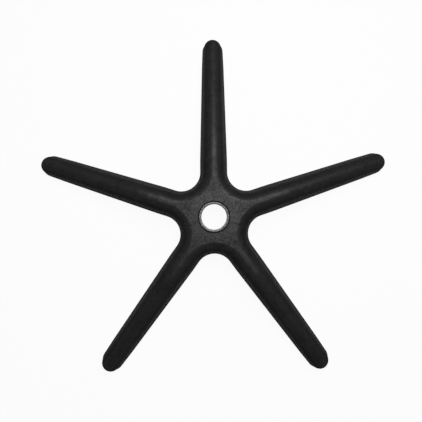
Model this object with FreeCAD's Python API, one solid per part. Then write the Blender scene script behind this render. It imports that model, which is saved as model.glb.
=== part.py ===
import FreeCAD, Part
import math
import os

# Five-star base of an office chair: one glass-filled nylon moulding, hollow and
# ribbed underneath, with a tapered steel sleeve set into its hub.
# Millimetres and degrees. Z points up along the hub axis, z = 0 is the plane
# that the arm tips and the hub stand on, and the first arm points along +Y.

# Plan of the star, taken at the standing plane
ARM_COUNT = 5
FIRST_ARM_ANGLE = 90.0
CASTER_CIRCLE_RADIUS = 323.5
TIP_RADIUS = 19.8
ROOT_HALF_WIDTH = 29.2
VALLEY_RADIUS = 31.5
SIDE_DRAFT = 9.0

# Top of an arm: a level root of even width, its round crest trimmed level with the hub,
# then a bend in short steps into the slope
HUB_HEIGHT = 80.0
CREST_TRIM = 0.1
LEVEL_LENGTH = 20.0
BEND_LENGTH = 36.0
BEND_STEPS = 3
ARM_SLOPE = 11.8

# Lower edge of the side walls, high at the hub and down on the floor at the tips
SKIRT_ROOT_HEIGHT = 24.0
SKIRT_SLOPE_END = 292.0

# Wall thickness and the stiffening underneath
SIDE_WALL = 4.5
TOP_WALL = 5.0
CORNER_CHAMFER = 8.0
RIB_THICKNESS = 3.2
RIB_RECESS = 2.5
CELLS_PER_ARM = 5
HUB_BOSS_WALL = 6.5
CASTER_BOSS_RADIUS = 11.0
TIP_CELL_DEPTH = 20.0

# Socket for a caster stem, one under each tip
SOCKET_RADIUS = 5.55
SOCKET_DEPTH = 25.0

# Steel sleeve that takes the tapered foot of the gas column, its wall measured at the mouth
SLEEVE_OUTER_RADIUS = 27.0
SLEEVE_WALL = 2.0
COLUMN_HALF_TAPER = 0.719
COLUMN_LAND_LENGTH = 10.0
SLEEVE_CHAMFER = 0.6
MOUTH_GROOVE_WIDTH = 1.6
MOUTH_GROOVE_DEPTH = 1.5

UP = FreeCAD.Vector(0, 0, 1)
ORIGIN = FreeCAD.Vector(0, 0, 0)
ARM_STEP = 360.0 / ARM_COUNT
ARM_ANGLES = [FIRST_ARM_ANGLE + number * ARM_STEP for number in range(ARM_COUNT)]
VALLEY_REACH = ROOT_HALF_WIDTH + VALLEY_RADIUS
VALLEY_STATION = VALLEY_REACH / math.tan(math.radians(ARM_STEP / 2))
VALLEY_DISTANCE = VALLEY_REACH / math.sin(math.radians(ARM_STEP / 2))
LEVEL_END = VALLEY_STATION + LEVEL_LENGTH
TAPER = math.asin((ROOT_HALF_WIDTH - TIP_RADIUS) / (CASTER_CIRCLE_RADIUS - LEVEL_END))
DRAFT = math.radians(SIDE_DRAFT)
DRAFT_RATE = math.tan(DRAFT)
CREST_HEIGHT = HUB_HEIGHT + CREST_TRIM
ROUND_RADIUS = (ROOT_HALF_WIDTH * math.cos(DRAFT) - CREST_HEIGHT * math.sin(DRAFT)) / (1 - math.sin(DRAFT))
ROUND_CENTRE = CREST_HEIGHT - ROUND_RADIUS
ROUND_FOOT = ROUND_CENTRE + ROUND_RADIUS * math.sin(DRAFT)
FIRST_CROSS_RIB = LEVEL_END + RIB_THICKNESS / 4
LAST_CROSS_RIB = CASTER_CIRCLE_RADIUS - TIP_RADIUS + SIDE_WALL - RIB_THICKNESS / 2
COLUMN_MOUTH_RADIUS = SLEEVE_OUTER_RADIUS - SLEEVE_WALL
BEYOND_TIPS = CASTER_CIRCLE_RADIUS + 2 * TIP_RADIUS
BELOW = -HUB_HEIGHT / 4
ABOVE = 2 * HUB_HEIGHT


def plan(x, y):
    """Return a point of the standing plane."""
    return FreeCAD.Vector(x, y, 0)


def turned(point, angle, height=0.0):
    """Return a plan point turned about the hub axis and lifted to a height."""
    return FreeCAD.Rotation(UP, angle).multVec(point) + UP * height


def round_the_hub(shape):
    """Return one turned copy of a shape, made on an arm along +X, for each arm."""
    copies = []
    for angle in ARM_ANGLES:
        copy = shape.copy()
        copy.rotate(ORIGIN, UP, angle)
        copies.append(copy)
    return copies


def upright_outline(corners):
    """Return the closed outline through (distance, height) corners in the XZ plane."""
    points = [FreeCAD.Vector(distance, 0, height) for distance, height in corners]
    return Part.makePolygon(points + points[:1])


def revolved(corners):
    """Return the solid swept about the hub axis by (radius, height) corners."""
    return Part.Face(upright_outline(corners)).revolve(ORIGIN, UP, 360)


def across_arm(outline):
    """Return the solid that an upright outline sweeps across an arm and its valleys."""
    reach = FreeCAD.Vector(0, ROOT_HALF_WIDTH + VALLEY_RADIUS, 0)
    face = Part.Face(outline)
    face.translate(-reach)
    return face.extrude(2 * reach)


def flat_sided(first, last):
    """Return the solid with flat walls between two outlines of matching corners."""
    walls = [first, last]
    for number in range(len(first)):
        walls.append([first[number - 1], first[number], last[number], last[number - 1]])
    skin = Part.makeShell([Part.Face(Part.makePolygon(wall + wall[:1])) for wall in walls])
    skin.sewShape()
    return Part.makeSolid(skin)


def half_width(distance, inset, height):
    """Return the half width of an inset, drafted arm at a distance from the hub axis."""
    narrowing = (distance - LEVEL_END) * math.sin(TAPER)
    return (ROOT_HALF_WIDTH - inset - height * DRAFT_RATE - narrowing) / math.cos(TAPER)


def mirrored(point):
    """Return a plan point moved to the other side of the arm along +X."""
    return plan(point.x, -point.y)


def all_round(runs, height):
    """Return the closed wire of lines and arcs, given for the arm along +X, round all arms."""
    edges = []
    for angle in ARM_ANGLES:
        for run in runs:
            points = [turned(point, angle, height) for point in run]
            curve = Part.LineSegment if len(points) == 2 else Part.Arc
            edges.append(curve(*points).toShape())
    return Part.Wire(edges)


def valley_run(inset):
    """Return the end, middle and far end of the arc between an arm and the next one."""
    end = plan(VALLEY_STATION, ROOT_HALF_WIDTH - inset)
    middle = plan(VALLEY_DISTANCE - VALLEY_RADIUS - inset, 0)
    return [end, turned(middle, ARM_STEP / 2), turned(mirrored(end), ARM_STEP)]


def star_outline(inset, height):
    """Return the closed star plan as a wire, moved into the material by the inset."""
    valley = valley_run(inset)
    aside = [turned(plan(1, 0), 90 - math.degrees(turn)) for turn in (0, TAPER / 2, TAPER)]
    root = [plan(LEVEL_END, 0) + direction * (ROOT_HALF_WIDTH - inset) for direction in aside]
    tip_centre = plan(CASTER_CIRCLE_RADIUS, 0)
    tip_side = tip_centre + aside[-1] * (TIP_RADIUS - inset)
    tip_end = tip_centre + plan(TIP_RADIUS - inset, 0)
    left_side = [[tip_side, root[-1]], root[::-1], [root[0], valley[0]]]
    right_side = [[mirrored(point) for point in run[::-1]] for run in left_side[::-1]]
    return all_round(right_side + [[mirrored(tip_side), tip_end, tip_side]] + left_side + [valley], height)


def hub_outline(inset, height):
    """Return the inset plan of the hub and the arm roots, ending inside the first cross ribs."""
    valley = valley_run(inset)
    corner = plan(FIRST_CROSS_RIB, ROOT_HALF_WIDTH - inset)
    left_side = [corner, valley[0]]
    right_side = [mirrored(valley[0]), mirrored(corner)]
    return all_round([right_side, [mirrored(corner), corner], left_side, valley], height)


def drafted(outline, levels):
    """Return the solid with drafted sides through an outline's (inset, height) levels."""
    rings = [outline(inset + height * DRAFT_RATE, height) for inset, height in levels]
    return Part.makeLoft(rings, True, True)


def step_slope(step):
    """Return the slope of an arm's top after a step of the bend."""
    return math.radians(ARM_SLOPE * (step + 1) / BEND_STEPS)


def round_balls():
    """Return (distance, height, radius) of the balls that the round top of an arm passes over.

    Each ball touches both sides of the arm: one at the end of the level root, one at each
    further step of the bend and one in the tip.
    """
    lean = math.cos(DRAFT) * math.sin(TAPER)
    ends = [LEVEL_END + BEND_LENGTH * step / (BEND_STEPS - 1) for step in range(1, BEND_STEPS)]
    balls = [(LEVEL_END, ROUND_CENTRE, ROUND_RADIUS)]
    for step, end in enumerate(ends + [CASTER_CIRCLE_RADIUS]):
        distance, height, radius = balls[-1]
        slope = step_slope(step)
        run = end - distance
        drop = run * (math.sin(slope) - lean) / (math.cos(slope) - math.sin(DRAFT))
        balls.append((end, height - drop, radius + drop * math.sin(DRAFT) - run * lean))
    return balls


def ridge_height(distance):
    """Return the height of an arm's top at a distance from the hub axis."""
    heights = [HUB_HEIGHT]
    for step, (station, height, radius) in enumerate(round_balls()[:-1]):
        slope = step_slope(step)
        fall = (distance - station) * math.sin(slope)
        heights.append(height + (radius - fall) / math.cos(slope))
    return min(heights)


def ball_path(first, last):
    """Return a ball's start, direction, way and the turn from the way to where the sweep touches."""
    start = FreeCAD.Vector(first[0], 0, first[1])
    way = FreeCAD.Vector(last[0], 0, last[1]) - start
    length = way.Length
    return start, way / length, length, math.acos((first[2] - last[2]) / length)


def ball_sweep(first, last):
    """Return the solid that a ball sweeps on its way from one ball to the next."""
    start, ahead, length, touch = ball_path(first, last)
    down = FreeCAD.Vector(ahead.z, 0, -ahead.x)

    def on_ball(along, radius, turn):
        return start + ahead * (along + radius * math.cos(turn)) + down * (radius * math.sin(turn))

    back = [on_ball(0, first[2], turn) for turn in (math.pi, (math.pi + touch) / 2, touch)]
    front = [on_ball(length, last[2], turn) for turn in (touch, touch / 2, 0)]
    edges = [Part.Arc(*back).toShape(), Part.LineSegment(back[-1], front[0]).toShape()]
    edges += [Part.Arc(*front).toShape(), Part.LineSegment(front[-1], back[0]).toShape()]
    return Part.Face(Part.Wire(edges)).revolve(start, ahead, 360)


def past_touch(first, last):
    """Return the space ahead of the circle where a sweep leaves its first ball."""
    start, ahead, length, touch = ball_path(first, last)
    return Part.makeCylinder(2 * first[2], 2 * length, start + ahead * (first[2] * math.cos(touch)), ahead)


def above_sides():
    """Return the space over one arm above the line where its sides run into its round top."""
    lean = math.cos(DRAFT) * math.sin(TAPER)
    line = [(LEVEL_END, ROUND_FOOT)]
    for distance, height, radius in round_balls():
        line.append((distance + radius * lean, height + radius * math.sin(DRAFT)))
    lid = [(BEYOND_TIPS, line[-1][1]), (BEYOND_TIPS, ABOVE), (LEVEL_END, ABOVE)]
    return across_arm(upright_outline(line + lid))


def arm_top():
    """Return the round top of one arm, from its level root to its tip."""
    balls = round_balls()
    pairs = list(zip(balls, balls[1:]))
    pieces = [ball_sweep(*pair).common(above_sides()) for pair in pairs]
    for number in range(1, len(pairs)):
        ahead = past_touch(*pairs[number])
        pieces[number - 1] = pieces[number - 1].cut(ahead)
        pieces[number] = pieces[number].common(ahead)
    return Part.makeCompound(pieces)


def root_top():
    """Return the round top of one arm's level root."""
    half = ROUND_RADIUS * math.cos(DRAFT)
    arch = [(-half, ROUND_FOOT), (0, CREST_HEIGHT), (half, ROUND_FOOT)]
    points = [FreeCAD.Vector(VALLEY_STATION, aside, height) for aside, height in arch]
    edges = [Part.Arc(*points).toShape(), Part.LineSegment(points[-1], points[0]).toShape()]
    return Part.Face(Part.Wire(edges)).extrude(plan(LEVEL_LENGTH, 0))


def valley_top():
    """Return the rounded rim along one valley, turned about the valley's axis."""
    points = []
    for turn in (DRAFT, DRAFT / 2 + math.pi / 4, math.pi / 2):
        out = VALLEY_REACH - ROUND_RADIUS * math.cos(turn)
        points.append(FreeCAD.Vector(0, -out, ROUND_CENTRE + ROUND_RADIUS * math.sin(turn)))
    foot = FreeCAD.Vector(0, -VALLEY_REACH, ROUND_FOOT)
    flats = Part.makePolygon([points[-1], foot, points[0]])
    face = Part.Face(Part.Wire([Part.Arc(*points).toShape()] + flats.Edges))
    axis = turned(plan(VALLEY_DISTANCE, 0), ARM_STEP / 2)
    face.translate(axis)
    return face.revolve(axis, UP, ARM_STEP - 180)


def hub_top():
    """Return the middle of the hub's top, which runs out to a point on each arm."""
    arc = [plan(VALLEY_STATION, 0), plan(VALLEY_DISTANCE - VALLEY_REACH, 0), plan(VALLEY_STATION, 0)]
    run = [turned(point, share * ARM_STEP) for point, share in zip(arc, (0, 0.5, 1))]
    return Part.Face(all_round([run], ROUND_FOOT)).extrude(UP * (CREST_HEIGHT - ROUND_FOOT))


def outer_form():
    """Return the full star: drafted sides below a top that is rounded from side to side."""
    sides = drafted(star_outline, [(0, 0), (0, ROUND_FOOT)]).cut(round_the_hub(above_sides()))
    tops = [hub_top()]
    for top in (valley_top(), root_top(), arm_top()):
        tops += round_the_hub(top)
    above_hub = Part.makeCylinder(BEYOND_TIPS, ABOVE, UP * HUB_HEIGHT)
    return sides.fuse(tops).cut(above_hub).removeSplitter()


def below_skirt(lift):
    """Return the space under the side walls, reaching higher by a lift."""
    root = SKIRT_ROOT_HEIGHT + lift
    corners = [(0, BELOW), (BEYOND_TIPS, BELOW), (BEYOND_TIPS, lift)]
    corners += [(SKIRT_SLOPE_END, lift), (LEVEL_END, root), (0, root)]
    spaces = round_the_hub(across_arm(upright_outline(corners)))
    return spaces[0].fuse(spaces[1:])


def plate(start, end, width):
    """Return an upright plate along an arm, between two distances from the hub axis."""
    corner = FreeCAD.Vector(start, -width / 2, BELOW)
    return Part.makeBox(end - start, width, ABOVE, corner)


def hub_boss():
    """Return the round wall that holds the sleeve."""
    return Part.makeCylinder(SLEEVE_OUTER_RADIUS + HUB_BOSS_WALL, HUB_HEIGHT)


def caster_boss():
    """Return the round wall of one stem socket."""
    return Part.makeCylinder(CASTER_BOSS_RADIUS, HUB_HEIGHT, plan(CASTER_CIRCLE_RADIUS, 0))


def corner_run(width):
    """Return the size of the chamfer in a cell's upper corner, limited by the cell's half width."""
    return min(CORNER_CHAMFER, 0.75 * (width - RIB_THICKNESS / 2))


def hub_cells():
    """Return the hollow round the hub boss, parted by a rib to each arm and each valley."""
    roof = HUB_HEIGHT - TOP_WALL
    run = corner_run(ROOT_HALF_WIDTH - SIDE_WALL - roof * DRAFT_RATE)
    levels = [(SIDE_WALL, BELOW), (SIDE_WALL, roof - run), (SIDE_WALL + run, roof)]
    arm_rib = plate(0, FIRST_CROSS_RIB, RIB_THICKNESS)
    valley_rib = arm_rib.copy()
    valley_rib.rotate(ORIGIN, UP, ARM_STEP / 2)
    cross_rib = plate(FIRST_CROSS_RIB - RIB_THICKNESS / 2, BEYOND_TIPS, 3 * ROOT_HALF_WIDTH)
    ribs = round_the_hub(arm_rib) + round_the_hub(valley_rib) + round_the_hub(cross_rib)
    return drafted(hub_outline, levels).cut(ribs + [hub_boss()])


def cell_section(distance, side):
    """Return the corners of an arm cell's cross-section, on one side of the middle rib."""
    roof = ridge_height(distance) - TOP_WALL
    run = corner_run(half_width(distance, SIDE_WALL, roof))
    knee = roof - run
    middle = RIB_THICKNESS / 2
    corners = [
        (middle, BELOW),
        (half_width(distance, SIDE_WALL, BELOW), BELOW),
        (half_width(distance, SIDE_WALL, knee), knee),
        (half_width(distance, SIDE_WALL + run, roof), roof),
        (middle, roof),
    ]
    return [FreeCAD.Vector(distance, side * width, height) for width, height in corners]


def arm_cells():
    """Return the row of hollow cells between the cross ribs of one arm, both sides."""
    pitch = (LAST_CROSS_RIB - FIRST_CROSS_RIB) / CELLS_PER_ARM
    cells = []
    for number in range(CELLS_PER_ARM):
        start = FIRST_CROSS_RIB + number * pitch + RIB_THICKNESS / 2
        end = start + pitch - RIB_THICKNESS
        for side in (-1, 1):
            cells.append(flat_sided(cell_section(start, side), cell_section(end, side)))
    return Part.makeCompound(cells)


def tip_section(distance, side):
    """Return the corners of a tip cell's cross-section, on one side of the middle rib."""
    middle = RIB_THICKNESS / 2
    corners = [(middle, BELOW)]
    corners += [(half_width(distance, SIDE_WALL, height), height) for height in (BELOW, TIP_CELL_DEPTH)]
    corners.append((middle, TIP_CELL_DEPTH))
    return [FreeCAD.Vector(distance, side * width, height) for width, height in corners]


def tip_cells():
    """Return the two hollows beside one caster boss, behind the last cross rib."""
    start = LAST_CROSS_RIB + RIB_THICKNESS / 2
    cells = []
    for side in (-1, 1):
        cells.append(flat_sided(tip_section(start, side), tip_section(CASTER_CIRCLE_RADIUS, side)))
    return Part.makeCompound(cells).cut(caster_boss())


def caster_socket():
    """Return the space of one stem socket, opening downward."""
    mouth = plan(CASTER_CIRCLE_RADIUS, 0) + UP * BELOW
    return Part.makeCylinder(SOCKET_RADIUS, SOCKET_DEPTH - BELOW, mouth)


def rib_recess():
    """Return the shallow space between the side walls that sets the ribs back."""
    channel = drafted(star_outline, [(SIDE_WALL, BELOW), (SIDE_WALL, HUB_HEIGHT / 2)])
    tips = round_the_hub(plate(LAST_CROSS_RIB, BEYOND_TIPS, 3 * ROOT_HALF_WIDTH))
    return channel.common(below_skirt(RIB_RECESS)).cut(tips + [hub_boss()])


def sleeve_pocket():
    """Return the space that the sleeve takes in the hub, with the groove round its mouth."""
    floor = HUB_HEIGHT - MOUTH_GROOVE_DEPTH
    rim = SLEEVE_OUTER_RADIUS + MOUTH_GROOVE_WIDTH
    corners = [(0, BELOW), (SLEEVE_OUTER_RADIUS, BELOW), (SLEEVE_OUTER_RADIUS, floor)]
    return revolved(corners + [(rim, floor), (rim, ABOVE), (0, ABOVE)])


def star_base():
    """Return the moulding: the outer form hollowed from below, with its sockets."""
    spaces = [below_skirt(0).cut(hub_boss()), rib_recess(), hub_cells(), sleeve_pocket()]
    for space in (arm_cells(), tip_cells(), caster_socket()):
        spaces += round_the_hub(space)
    return outer_form().cut(spaces).removeSplitter()


def hub_sleeve():
    """Return the steel sleeve: tapered bore with a short straight land at the small end."""
    taper_length = HUB_HEIGHT - COLUMN_LAND_LENGTH
    land_radius = COLUMN_MOUTH_RADIUS - taper_length * math.tan(math.radians(COLUMN_HALF_TAPER))
    return revolved([
        (land_radius, 0),
        (SLEEVE_OUTER_RADIUS, 0),
        (SLEEVE_OUTER_RADIUS, HUB_HEIGHT),
        (COLUMN_MOUTH_RADIUS + SLEEVE_CHAMFER, HUB_HEIGHT),
        (COLUMN_MOUTH_RADIUS, HUB_HEIGHT - SLEEVE_CHAMFER),
        (land_radius, COLUMN_LAND_LENGTH),
    ])


os.makedirs("parts", exist_ok=True)
star_base().exportStep("parts/star_base.step")
hub_sleeve().exportStep("parts/hub_sleeve.step")
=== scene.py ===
import math

import bpy
from mathutils import Matrix, Vector


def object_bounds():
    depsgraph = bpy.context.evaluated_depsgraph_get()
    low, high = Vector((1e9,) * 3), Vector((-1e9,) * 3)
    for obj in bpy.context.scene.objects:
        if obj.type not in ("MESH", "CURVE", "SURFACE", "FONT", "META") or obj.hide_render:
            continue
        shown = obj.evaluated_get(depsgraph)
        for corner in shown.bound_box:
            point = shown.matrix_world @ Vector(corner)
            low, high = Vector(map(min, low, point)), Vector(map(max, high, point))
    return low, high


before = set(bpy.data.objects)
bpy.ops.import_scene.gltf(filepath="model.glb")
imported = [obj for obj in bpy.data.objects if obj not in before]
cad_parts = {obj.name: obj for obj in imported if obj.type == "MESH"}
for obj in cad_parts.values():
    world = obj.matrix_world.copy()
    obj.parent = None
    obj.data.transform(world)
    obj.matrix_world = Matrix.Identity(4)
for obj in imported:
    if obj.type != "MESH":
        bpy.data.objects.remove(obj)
cad_low, cad_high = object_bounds()

# The star is one injection moulding in black glass-filled nylon. Spark-eroded tool
# walls give it a fine pebbled grain, and the ten ribs under the hub show through
# the flat top as faint sinks that run out from the sleeve.
NYLON_DARK = (0.0045, 0.0045, 0.0046, 1.0)
NYLON_PALE = (0.0185, 0.0185, 0.0187, 1.0)
NYLON_GLOSS = 0.115
NYLON_ROUGHNESS = 0.8

# Lumps in the nylon, in metres across, and their shares in its tone.
MOTTLE_CELL = 0.0026
BLOTCH_CELL = 0.011
CLOUD_CELL = 0.045
LUMP_DETAIL = 2.0
MIDDLE_TONE = 0.5
MOTTLE_TONE = 0.9
BLOTCH_TONE = 0.7
CLOUD_TONE = 0.6

# The skin is a glossy coat on faces that look up, with its edge given by the upward
# share of the face's normal. It is glossier near the bore and more speckled on the hub.
SKIN_WEIGHT = 0.37
HUB_SKIN_WEIGHT = 0.14
SKIN_ROUGHNESS = 0.43
SKIN_FULL = 0.97
SKIN_FADE = 0.27
ARM_SPECKLE = 0.6
HUB_SPECKLE = 0.9
BLOTCH_SKIN = 0.25
BORE_GLOSS_EDGE = 0.038
BORE_GLOSS_FADE = 0.016
SPECKLE_EDGE = 0.045
SPECKLE_FADE = 0.035

# The pebbled grain stands up by its depth, and each kind of lump has a share in it.
GRAIN_CELL = 0.0013
GRAIN_SMOOTHNESS = 0.6
GRAIN_DEPTH = 0.00016
GRAIN_STRENGTH = 0.6
GRAIN_HEIGHT = 0.6
MOTTLE_HEIGHT = 0.8

# Each sink is a soft line on the flat of the hub, halfway between two multiples of its step. It is a shallow
# trough in the bump with a duller skin, and its darker colour is painted shade.
SINK_STEP = math.radians(36.0)
SINK_HALF_WIDTH = 0.0032
SINK_CORE = 0.00032
SINK_START = 0.029
SINK_FULL = 0.041
SINK_FADE = 0.021
FLAT_HEIGHT = 0.0785
FLAT_FADE = 0.0005
SINK_PAINTED_SHADE_COLOUR = (0.002, 0.002, 0.002, 1.0)
SINK_PAINTED_SHADE_SHARE = 0.25
SINK_HEIGHT = 0.3
SINK_DULLNESS = 0.06

# A narrow groove runs round the sleeve where it enters the hub. Its nylon is painted near black there as
# painted shade, and it has no glossy skin.
GROOVE_EDGE = 0.0288
GROOVE_FLOOR = 0.07
GROOVE_TOP = 0.0792
GROOVE_FADE = 0.0002
GROOVE_PAINTED_SHADE = (0.001, 0.001, 0.001, 1.0)


class Socket:
    """A shader node's output. Arithmetic on it adds Math nodes to the same tree."""

    def __init__(self, finish, output):
        self.finish = finish
        self.output = output

    def maths(self, operation, first, second):
        return self.finish.node("ShaderNodeMath", {"operation": operation}, {0: first, 1: second})

    def __add__(self, other):
        return self.maths("ADD", self, other)

    def __radd__(self, other):
        return self.maths("ADD", other, self)

    def __sub__(self, other):
        return self.maths("SUBTRACT", self, other)

    def __rsub__(self, other):
        return self.maths("SUBTRACT", other, self)

    def __mul__(self, other):
        return self.maths("MULTIPLY", self, other)

    def __truediv__(self, other):
        return self.maths("DIVIDE", self, other)


class Finish:
    """A material in the making, with its Principled shader ready to be fed."""

    def __init__(self, name):
        self.material = bpy.data.materials.new(name)
        self.material.use_nodes = True
        self.tree = self.material.node_tree
        self.shader = self.tree.nodes["Principled BSDF"]

    def feed(self, sockets, values):
        """Set or link the named sockets of a node."""
        for key, value in values.items():
            if isinstance(value, Socket):
                self.tree.links.new(value.output, sockets[key])
            else:
                sockets[key].default_value = value

    def node(self, kind, settings, values, output=0):
        """Add a node, make its settings, feed its sockets and return one output."""
        made = self.tree.nodes.new(kind)
        for key, value in settings.items():
            setattr(made, key, value)
        self.feed(made.inputs, values)
        return Socket(self, made.outputs[output])

    def place(self):
        """Return the Object coordinates, in metres, as a vector and as x, y and z."""
        point = self.node("ShaderNodeTexCoord", {}, {}, "Object")
        parts = [self.node("ShaderNodeSeparateXYZ", {}, {0: point}, axis) for axis in "XYZ"]
        return [point] + parts

    def reach(self, x, y):
        """Return the distance from the upright axis through the hub."""
        flat = self.node("ShaderNodeCombineXYZ", {}, {"X": x, "Y": y})
        return self.node("ShaderNodeVectorMath", {"operation": "LENGTH"}, {0: flat}, "Value")

    def noise(self, point, cell, detail):
        """Return a noise of about 0 to 1 whose lumps are one cell across."""
        sockets = {"Vector": point, "Scale": 1.0 / cell, "Detail": detail}
        return self.node("ShaderNodeTexNoise", {}, sockets, "Fac")

    def rise(self, value, full, fade):
        """Return a mask that goes up from 0 to 1 over a distance, and is 1 from a value on."""
        return self.node("ShaderNodeMapRange", {"interpolation_type": "SMOOTHSTEP"},
                         {"Value": value, "From Min": full - fade, "From Max": full})

    def fall(self, value, last, fade):
        """Return a mask that is 1 up to a value and goes down to 0 over a distance."""
        return 1.0 - self.rise(value, last + fade, fade)

    def blend(self, share, first, second):
        """Return a colour between two colours, by the Mix node's own colour sockets."""
        return self.node("ShaderNodeMix", {"data_type": "RGBA"}, {0: share, 6: first, 7: second}, 2)


def moulded_nylon():
    """Return the finish of the star."""
    finish = Finish("moulded_nylon")
    point, x, y, z = finish.place()
    radius = finish.reach(x, y)
    pebbles = {"Vector": point, "Scale": 1.0 / GRAIN_CELL, "Smoothness": GRAIN_SMOOTHNESS}
    grain = finish.node("ShaderNodeTexVoronoi", {"feature": "SMOOTH_F1"}, pebbles, "Distance")
    mottle = finish.noise(point, MOTTLE_CELL, LUMP_DETAIL) - 0.5
    blotch = finish.noise(point, BLOTCH_CELL, LUMP_DETAIL) - 0.5
    cloud = finish.noise(point, CLOUD_CELL, LUMP_DETAIL) - 0.5

    turn = finish.node("ShaderNodeMath", {"operation": "ARCTAN2"}, {0: y, 1: x})
    in_step = finish.node("ShaderNodeMath", {"operation": "FLOORED_MODULO"}, {0: turn / SINK_STEP, 1: 1.0})
    aside = radius * (in_step - 0.5) * SINK_STEP
    before_line = finish.rise(aside, -SINK_CORE, SINK_HALF_WIDTH)
    near_line = before_line * finish.fall(aside, SINK_CORE, SINK_HALF_WIDTH)
    on_hub = finish.rise(radius, SINK_START, SINK_FADE) * finish.fall(radius, SINK_FULL, SINK_FADE)
    sink = near_line * on_hub * finish.rise(z, FLAT_HEIGHT, FLAT_FADE)

    beside_sleeve = finish.fall(radius, GROOVE_EDGE, GROOVE_FADE)
    below_flat = finish.rise(z, GROOVE_FLOOR, GROOVE_FADE) * finish.fall(z, GROOVE_TOP, GROOVE_FADE)
    groove = beside_sleeve * below_flat

    tone = MIDDLE_TONE + mottle * MOTTLE_TONE + blotch * BLOTCH_TONE + cloud * CLOUD_TONE
    nylon = finish.blend(tone, NYLON_DARK, NYLON_PALE)
    # Painted shade: the nylon is darkened along the sinks.
    with_sink_shade = finish.blend(sink * SINK_PAINTED_SHADE_SHARE, nylon, SINK_PAINTED_SHADE_COLOUR)
    # Painted shade: the nylon in the groove round the sleeve is near black.
    colour = finish.blend(groove, with_sink_shade, GROOVE_PAINTED_SHADE)

    height = grain * GRAIN_HEIGHT + mottle * MOTTLE_HEIGHT - sink * SINK_HEIGHT
    normal = finish.node("ShaderNodeBump", {},
                         {"Strength": GRAIN_STRENGTH, "Distance": GRAIN_DEPTH, "Height": height})

    facing = finish.node("ShaderNodeTexCoord", {}, {}, "Normal")
    upward = finish.node("ShaderNodeSeparateXYZ", {}, {0: facing}, "Z")
    near_bore = finish.fall(radius, BORE_GLOSS_EDGE, BORE_GLOSS_FADE)
    speckle = mottle * (ARM_SPECKLE + finish.fall(radius, SPECKLE_EDGE, SPECKLE_FADE) * HUB_SPECKLE)
    weight = SKIN_WEIGHT + near_bore * HUB_SKIN_WEIGHT + speckle + blotch * BLOTCH_SKIN - sink * SINK_DULLNESS
    skin = finish.rise(upward, SKIN_FULL, SKIN_FADE) * weight * (1.0 - groove)

    finish.feed(finish.shader.inputs, {"Base Color": colour, "Roughness": NYLON_ROUGHNESS, "Normal": normal,
                                       "Specular IOR Level": NYLON_GLOSS, "Coat Weight": skin,
                                       "Coat Roughness": SKIN_ROUGHNESS})
    return finish.material


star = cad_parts["star_base"]
star.data.materials[0] = moulded_nylon()

# The sleeve is a turned steel tube, pressed into the hub, with the tapered bore that
# holds the column's foot. Fine turning marks run round its bore and its end face. The
# outer part of the end face is painted dark, as painted shade of the gap round the sleeve.
STEEL_PALE = (0.52, 0.514, 0.503, 1.0)
STEEL_DARK = (0.36, 0.356, 0.349, 1.0)
STAIN_CELL = 0.009
STAIN_DETAIL = 4.0
STEEL_ROUGHNESS = 0.26
STAIN_ROUGHNESS = 0.16
PAINTED_GAP_SHADE = (0.02, 0.02, 0.02, 1.0)
PAINTED_GAP_SHADE_START = 0.0259
PAINTED_GAP_SHADE_FADE = 0.0005
TURNING_PITCH = 0.0005
TURNING_DEPTH = 0.00002
TURNING_STRENGTH = 0.5


def turned_steel():
    """Return the finish of the sleeve."""
    finish = Finish("turned_steel")
    point, x, y, z = finish.place()
    radius = finish.reach(x, y)
    path = (radius + z) * (2.0 * math.pi / TURNING_PITCH)
    marks = finish.node("ShaderNodeMath", {"operation": "SINE"}, {0: path}) * 0.5 + 0.5
    stain = finish.noise(point, STAIN_CELL, STAIN_DETAIL)
    steel = finish.blend(stain, STEEL_PALE, STEEL_DARK)
    # Painted shade: the outer part of the end face is darkened for the gap round the sleeve.
    colour = finish.blend(finish.rise(radius, PAINTED_GAP_SHADE_START, PAINTED_GAP_SHADE_FADE), steel, PAINTED_GAP_SHADE)
    normal = finish.node("ShaderNodeBump", {},
                         {"Strength": TURNING_STRENGTH, "Distance": TURNING_DEPTH, "Height": marks})
    rough = STEEL_ROUGHNESS + stain * STAIN_ROUGHNESS
    finish.feed(finish.shader.inputs, {"Base Color": colour, "Roughness": rough, "Normal": normal,
                                       "Metallic": 1.0})
    return finish.material


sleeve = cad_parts["hub_sleeve"]
sleeve.data.materials[0] = turned_steel()

# The studio: a white table that curves up into a low wall far away, one wide soft
# lamp above the object and a dim grey room round it.
TABLE_COLOUR = (0.86, 0.86, 0.86, 1.0)
TABLE_ROUGHNESS = 0.9
GLOW_COLOUR = (1.0, 1.0, 1.0, 1.0)
SHADOW_SHARE = 0.06
NEAR_REACH = 0.42
NEAR_FADE = 0.06
TABLE_GAP = 0.0003
TABLE_REACH = 9.0
SWEEP_RADIUS = 1.2
WALL_HEIGHT = 2.0
ROUND_STEPS = 96
SWEEP_STEPS = 12
ROOM_COLOUR = (0.1, 0.1, 0.102, 1.0)
LAMP_PLACE = Vector((0.16, 0.40, 1.25))
LAMP_SIZE = 0.75
LAMP_WATTS = 15.0


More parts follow.
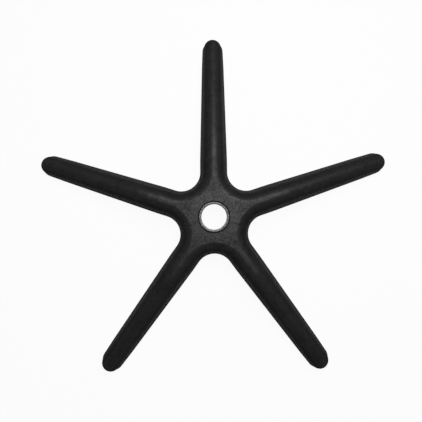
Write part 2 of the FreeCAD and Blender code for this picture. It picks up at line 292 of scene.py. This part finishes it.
def white_table():
    """Return the finish of the table.

    It is white to the eye, with a share of the object's real shadow. Reflections and
    what is seen through a surface show it white too, except near the object, where
    they show it as it is lit.
    """
    finish = Finish("white_table")
    x, y = finish.place()[1:3]
    away = finish.rise(finish.reach(x, y), NEAR_REACH, NEAR_FADE)
    camera, gloss, through = [finish.node("ShaderNodeLightPath", {}, {}, name) for name in (
        "Is Camera Ray", "Is Glossy Ray", "Is Transmission Ray")]
    mirrored = finish.node("ShaderNodeMath", {"operation": "MAXIMUM"}, {0: gloss, 1: through})
    seen = finish.node("ShaderNodeMath", {"operation": "MAXIMUM"}, {0: camera, 1: mirrored * away})
    glow = finish.node("ShaderNodeEmission", {}, {"Color": GLOW_COLOUR, "Strength": 1.0})
    finish.feed(finish.shader.inputs, {"Base Color": TABLE_COLOUR, "Roughness": TABLE_ROUGHNESS,
                                       "Specular IOR Level": 0.0})
    lit = Socket(finish, finish.shader.outputs["BSDF"])
    mixed = finish.node("ShaderNodeMixShader", {}, {0: seen * (1.0 - SHADOW_SHARE), 1: lit, 2: glow})
    finish.feed(finish.tree.nodes["Material Output"].inputs, {"Surface": mixed})
    return finish.material


def studio_sweep():
    """Return the table and its low wall as one round sheet."""
    profile = [(TABLE_REACH, 0.0)]
    for step in range(1, SWEEP_STEPS + 1):
        turn = 0.5 * math.pi * step / SWEEP_STEPS
        profile.append((TABLE_REACH + SWEEP_RADIUS * math.sin(turn), SWEEP_RADIUS * (1.0 - math.cos(turn))))
    profile.append((TABLE_REACH + SWEEP_RADIUS, WALL_HEIGHT))
    ground = cad_low.z - TABLE_GAP
    points = [(0.0, 0.0, ground)]
    for radius, height in profile:
        for step in range(ROUND_STEPS):
            turn = 2.0 * math.pi * step / ROUND_STEPS
            points.append((radius * math.cos(turn), radius * math.sin(turn), ground + height))
    faces = []
    for step in range(ROUND_STEPS):
        after = (step + 1) % ROUND_STEPS
        faces.append((0, 1 + step, 1 + after))
        for ring in range(len(profile) - 1):
            low = 1 + ring * ROUND_STEPS
            high = low + ROUND_STEPS
            faces.append((low + step, high + step, high + after, low + after))
    mesh = bpy.data.meshes.new("studio_sweep")
    mesh.from_pydata(points, [], faces)
    mesh.shade_smooth()
    mesh.materials.append(white_table())
    sweep = bpy.data.objects.new("studio_sweep", mesh)
    bpy.context.scene.collection.objects.link(sweep)
    return sweep


studio_sweep()

room = bpy.data.worlds.new("studio_room")
room.use_nodes = True
room.node_tree.nodes["Background"].inputs["Color"].default_value = ROOM_COLOUR
bpy.context.scene.world = room

lamp_data = bpy.data.lights.new("wide_soft_lamp", "AREA")
lamp_data.shape = "SQUARE"
lamp_data.size = LAMP_SIZE
lamp_data.energy = LAMP_WATTS
lamp = bpy.data.objects.new("wide_soft_lamp", lamp_data)
lamp.location = LAMP_PLACE
lamp.rotation_euler = (-LAMP_PLACE).to_track_quat("-Z", "Y").to_euler()
bpy.context.scene.collection.objects.link(lamp)

# The camera looks straight down on the hub from about a metre, with its frame tipped
# a little towards the first arm, so that the two arms at the front look longer.
CAMERA_HEIGHT = 1.0325
CAMERA_TIP = math.radians(5.4)
CAMERA_PAN = math.radians(0.62)
CAMERA_ROLL = math.radians(-0.605)
PHOTO_WIDTH = 422
FOCAL_PIXELS = 537.5
AXIS_PIXEL = (219.4, 166.0)

camera_data = bpy.data.cameras.new("camera")
camera_data.lens = camera_data.sensor_width * FOCAL_PIXELS / PHOTO_WIDTH
camera_data.shift_x = 0.5 - AXIS_PIXEL[0] / PHOTO_WIDTH
camera_data.shift_y = AXIS_PIXEL[1] / PHOTO_WIDTH - 0.5
camera = bpy.data.objects.new("camera", camera_data)
ahead = Vector((math.tan(CAMERA_PAN), math.tan(CAMERA_TIP), -1.0)).normalized()
frame_up = (Vector((0, 1, 0)) - ahead * ahead.y).normalized()
turned = Matrix((ahead.cross(frame_up), frame_up, -ahead)).transposed()
camera.matrix_world = (Matrix.Translation((0, 0, CAMERA_HEIGHT)) @ turned.to_4x4()
                       @ Matrix.Rotation(CAMERA_ROLL, 4, "Z"))
bpy.context.scene.collection.objects.link(camera)
bpy.context.scene.camera = camera
bpy.context.scene.view_settings.view_transform = "Standard"
